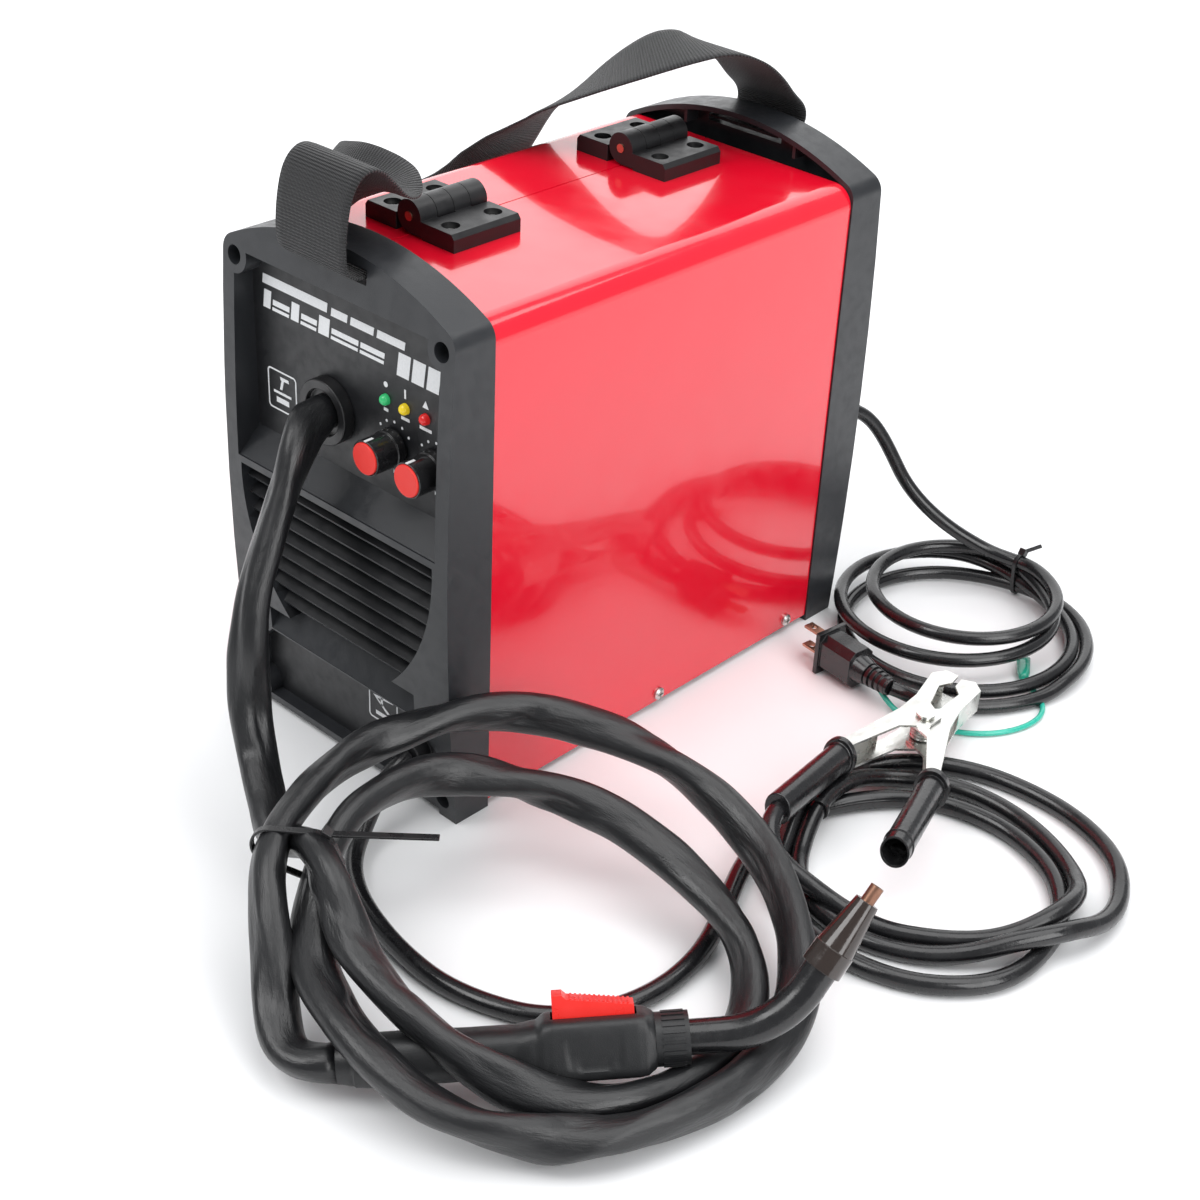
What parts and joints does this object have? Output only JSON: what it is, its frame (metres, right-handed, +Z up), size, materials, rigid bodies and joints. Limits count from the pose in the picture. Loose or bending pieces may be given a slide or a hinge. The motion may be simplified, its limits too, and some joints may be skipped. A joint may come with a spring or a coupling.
{
  "type": "wire feed inverter welder",
  "caption": "Small portable wire-feed inverter welder with hinged wire door, carry strap, torch, earth clamp and coiled mains cord.",
  "frame": {"origin": "on the floor under the middle of the case; the chassis underside is 2.5 mm above it, between the feet", "axes": "+Z up, -Y towards the control panel, -X towards the wire compartment door"},
  "size_m": [0.4796, 0.6251, 0.3404],
  "materials": {
    "case_steel": "gloss red powder coat",
    "bezel_plastic": "charcoal, fine spark texture",
    "zinc_steel": "bright zinc plate",
    "black_nylon": "semi-matt moulded nylon",
    "gloss_black": "glossy moulded plastic",
    "red_plastic": "satin red",
    "lamp_lens": "tinted lens",
    "webbing": "ribbed woven webbing",
    "foot_rubber": "matt",
    "copper": "dull copper",
    "wire_copper": "wound copper-coated wire",
    "board": "green lacquer",
    "aluminium_fins": "extruded",
    "cord_rubber": "smooth cord jacket",
    "sheath": "wrinkled sleeve",
    "bond_green": "green jacket",
    "red_knob_cap": "satin red"
  },
  "bodies": {
    "machine": {"base_chassis": "zinc_steel", "front_bezel": "bezel_plastic", "rear_bezel": "bezel_plastic", "side_cover": "case_steel", "hinge_fixed_leaves": "black_nylon", "hinge_pins": "copper", "hinge_fixed_screws": "zinc_steel", "panel_screws": "zinc_steel", "rubber_feet": "foot_rubber", "carry_strap": "webbing", "status_lamps": "lamp_lens", "torch_gland": "black_nylon", "earth_gland": "black_nylon", "fan_frame": "gloss_black", "switch_body": "gloss_black", "cord_gland": "black_nylon", "spool_hub": "black_nylon", "feed_motor": "zinc_steel", "feeder_block": "black_nylon", "main_board": "board", "control_board": "board", "heatsink": "aluminium_fins", "torch_handle": "black_nylon", "torch_collar": "black_nylon", "torch_neck": "cord_rubber", "torch_nozzle": "gloss_black", "contact_tip": "copper", "clamp_fixed_jaw": "zinc_steel", "clamp_spring": "zinc_steel", "clamp_fixed_grip": "black_nylon", "torch_lead": "sheath", "torch_coils": "sheath", "earth_lead": "cord_rubber", "earth_coils": "cord_rubber", "mains_cord": "cord_rubber", "mains_coils": "cord_rubber", "bonding_wire": "bond_green", "plug_body": "gloss_black", "plug_blades": "copper", "cable_ties": "black_nylon"},
    "door": {"wire_door": "case_steel", "hinge_door_leaves": "black_nylon", "hinge_door_screws": "zinc_steel"},
    "latch": {"door_latch": "black_nylon"},
    "voltage_dial": {"voltage_knob": "gloss_black", "voltage_knob_cap": "red_knob_cap"},
    "speed_dial": {"speed_knob": "gloss_black", "speed_knob_cap": "red_knob_cap"},
    "rocker": {"switch_rocker": "gloss_black"},
    "fan": {"fan_rotor": "gloss_black"},
    "spool": {"wire_spool": "gloss_black", "wire_winding": "wire_copper"},
    "hub_nut": {"spool_nut": "black_nylon"},
    "drive": {"drive_roll": "zinc_steel"},
    "arm": {"pressure_arm": "black_nylon"},
    "idler": {"pressure_roll": "zinc_steel"},
    "tensioner": {"tension_bolt": "black_nylon"},
    "trigger": {"torch_trigger": "red_plastic"},
    "jaw": {"clamp_moving_jaw": "zinc_steel", "clamp_moving_grip": "black_nylon"}
  },
  "joints": [
    {"name": "door_hinge", "type": "hinge", "parent": "machine", "child": "door", "pos_m": [-0.0215, 0, 0.288], "axis": [0, 1, 0], "range_deg": [0, 100], "deforming": ["carry_strap"]},
    {"name": "latch_turn", "type": "hinge", "parent": "door", "child": "latch", "pos_m": [-0.084, 0, 0.032], "axis": [1, 0, 0], "range_deg": [-90, 0]},
    {"name": "voltage_turn", "type": "hinge", "parent": "machine", "child": "voltage_dial", "pos_m": [0.031, -0.15, 0.199], "axis": [0, -1, 0], "range_deg": [-135, 135]},
    {"name": "speed_turn", "type": "hinge", "parent": "machine", "child": "speed_dial", "pos_m": [0.061, -0.15, 0.199], "axis": [0, -1, 0], "range_deg": [-135, 135]},
    {"name": "power_rocker", "type": "hinge", "parent": "machine", "child": "rocker", "pos_m": [0.014, 0.157, 0.118], "axis": [1, 0, 0], "range_deg": [-16, 0]},
    {"name": "fan_spin", "type": "hinge", "parent": "machine", "child": "fan", "pos_m": [0.04, 0.118, 0.205], "axis": [0, 1, 0], "continuous": true},
    {"name": "spool_spin", "type": "hinge", "parent": "machine", "child": "spool", "pos_m": [-0.034, 0.062, 0.15], "axis": [1, 0, 0], "continuous": true},
    {"name": "hub_nut_turn", "type": "hinge", "parent": "machine", "child": "hub_nut", "pos_m": [-0.064, 0.062, 0.15], "axis": [1, 0, 0], "continuous": true},
    {"name": "drive_spin", "type": "hinge", "parent": "machine", "child": "drive", "pos_m": [-0.016, -0.075, 0.187], "axis": [1, 0, 0], "continuous": true},
    {"name": "tension_swing", "type": "hinge", "parent": "machine", "child": "tensioner", "pos_m": [-0.025, -0.05, 0.182], "axis": [1, 0, 0], "range_deg": [-60, 0]},
    {"name": "pressure_lift", "type": "hinge", "parent": "machine", "child": "arm", "pos_m": [-0.025, -0.098, 0.206], "axis": [1, 0, 0], "range_deg": [0, 36]},
    {"name": "idler_spin", "type": "hinge", "parent": "arm", "child": "idler", "pos_m": [-0.017, -0.075, 0.2124], "axis": [1, 0, 0], "continuous": true},
    {"name": "trigger_press", "type": "hinge", "parent": "machine", "child": "trigger", "pos_m": [0.27057, -0.22774, 0.03708], "axis": [-0.619, 0.6309, -0.4678], "range_deg": [-4, 0], "stiffness_Nm_per_rad": 1.5},
    {"name": "jaw_open", "type": "hinge", "parent": "machine", "child": "jaw", "pos_m": [0.22, 0.066, 0.0226], "axis": [-0.0235, 0.0929, 0.9954], "range_deg": [-14, 0], "stiffness_Nm_per_rad": 2}
  ],
  "couplings": [
    {"joint": "pressure_lift", "follows": "tension_swing", "ratio": -0.6}
  ]
}
